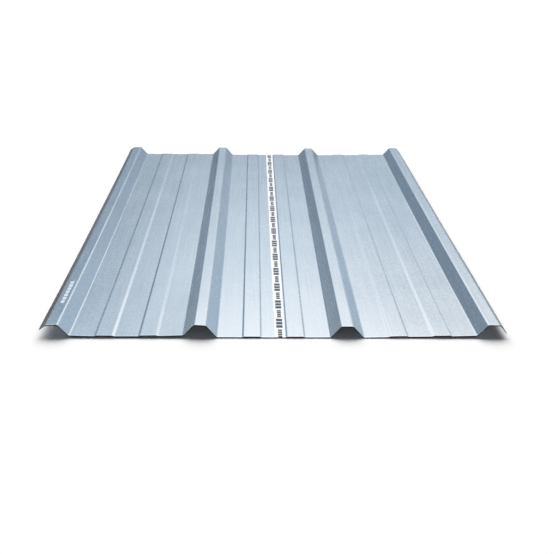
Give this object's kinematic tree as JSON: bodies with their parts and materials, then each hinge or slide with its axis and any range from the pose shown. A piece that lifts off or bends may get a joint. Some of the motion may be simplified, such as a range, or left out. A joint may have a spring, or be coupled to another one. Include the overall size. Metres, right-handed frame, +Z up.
{
  "type": "corrugated metal roofing sheet",
  "caption": "Roll-formed steel roofing sheet with tall trapezoidal ribs, flat pans with low stiffening beads, and unequal outer legs for side laps.",
  "frame": {"origin": "middle of the sheet's footprint, on the underside of the pans", "axes": "+Y along the sheet's length and its ribs; +Z up, out of the pans towards the rib crests; +X across the ribs, from the lap rib to the seat rib"},
  "size_m": [1.0674, 1.83, 0.0275],
  "materials": {
    "coated_steel": "bare zinc-aluminium coated steel, smooth rolled, satin, with a printed stripe along one pan"
  },
  "bodies": {
    "root": {"corrugated_sheet": "coated_steel"}
  },
  "joints": []
}
